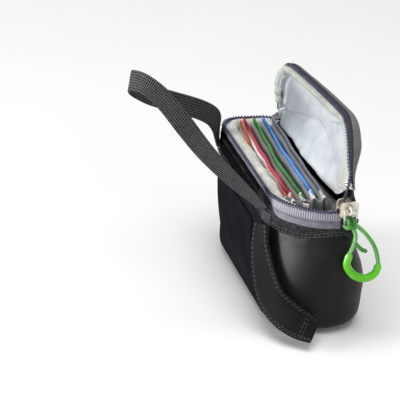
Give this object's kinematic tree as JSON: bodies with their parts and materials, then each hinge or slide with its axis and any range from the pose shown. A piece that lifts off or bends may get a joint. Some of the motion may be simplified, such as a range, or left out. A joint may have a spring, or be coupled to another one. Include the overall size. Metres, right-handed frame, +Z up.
{
  "type": "lens filter case",
  "caption": "Soft padded pouch for round lens filters, zip lid standing open, colour-trimmed dividers, hanging strap, rear flap and cord zip pull",
  "frame": {"origin": "middle of the underside of the pouch, on the plane it stands on", "axes": "Z up, X along the width of the pouch with the zip slider and the rear flap's tip at the -X end, Y from the front, where the lid is hinged, to the back, where the strap and flap are sewn"},
  "size_m": [0.129, 0.1118, 0.1142],
  "materials": {
    "nylon": "matte",
    "rim_mesh": "matte",
    "foam": "matte",
    "body_lining": "satin",
    "zip_tape": "matte",
    "zip_coil": "satin",
    "divider_felt": "matte",
    "trim_orange": "matte",
    "trim_red": "matte",
    "trim_green": "matte",
    "trim_blue": "matte",
    "trim_grey": "matte",
    "gusset_cloth": "matte",
    "label": "satin",
    "lid_cloth": "matte",
    "lid_lining": "satin",
    "binding": "satin",
    "nickel": "polished",
    "cord": "matte",
    "grip": "satin",
    "webbing": "matte",
    "flap_cloth": "matte",
    "hook_and_loop": "matte"
  },
  "bodies": {
    "pouch": {"side_wrap": "nylon", "back_panel": "nylon", "bottom_panel": "nylon", "front_binding": "nylon", "rim_band": "rim_mesh", "body_foam": "foam", "body_lining": "body_lining", "zip_tape_body": "zip_tape", "zip_end_tab_near": "zip_tape", "zip_end_tab_far": "zip_tape", "zip_coil_body": "zip_coil", "divider_orange": "divider_felt", "divider_red": "divider_felt", "divider_green": "divider_felt", "divider_blue": "divider_felt", "divider_grey": "divider_felt", "divider_trim_orange": "trim_orange", "divider_trim_red": "trim_red", "divider_trim_green": "trim_green", "divider_trim_blue": "trim_blue", "divider_trim_grey": "trim_grey", "gusset_near": "gusset_cloth", "gusset_far": "gusset_cloth", "inner_label": "label", "strap_anchor_near": "webbing", "strap_anchor_far": "webbing", "loop_patch": "hook_and_loop"},
    "lid": {"lid_shell": "lid_cloth", "lid_foam": "foam", "lid_lining": "lid_lining", "zip_tape_lid": "zip_tape", "zip_coil_lid": "zip_coil", "lid_binding": "binding", "lid_hinge_fold": "nylon"},
    "slider": {"zip_slider": "nickel"},
    "pull": {"slider_bail": "nickel", "pull_cord": "cord", "pull_grip": "grip"},
    "flap": {"rear_flap": "flap_cloth", "flap_hook_tape": "hook_and_loop"},
    "strap": {"hanging_strap": "webbing"}
  },
  "joints": [
    {"name": "lid_hinge", "type": "hinge", "parent": "pouch", "child": "lid", "pos_m": [-0.04916, -0.01145, 0.064], "axis": [0.9972, 0.0753, 0], "range_deg": [-94.7, 40]},
    {"name": "slider_travel", "type": "hinge", "parent": "pouch", "child": "slider", "pos_m": [-0.029, -0.002, 0.064], "axis": [0, 0, 1], "range_deg": [-45, 0]},
    {"name": "pull_swing", "type": "hinge", "parent": "slider", "child": "pull", "pos_m": [-0.0592, -0.00624, 0.064], "axis": [-0.1392, 0.9903, 0], "range_deg": [0, 110]},
    {"name": "flap_lift", "type": "hinge", "parent": "pouch", "child": "flap", "pos_m": [-0.034, 0.0271, 0.0472], "axis": [1, 0, 0], "range_deg": [0, 35]},
    {"name": "strap_swing", "type": "hinge", "parent": "pouch", "child": "strap", "pos_m": [0, 0.0276, 0.0525], "axis": [-1, 0, 0], "range_deg": [0, 60]}
  ]
}
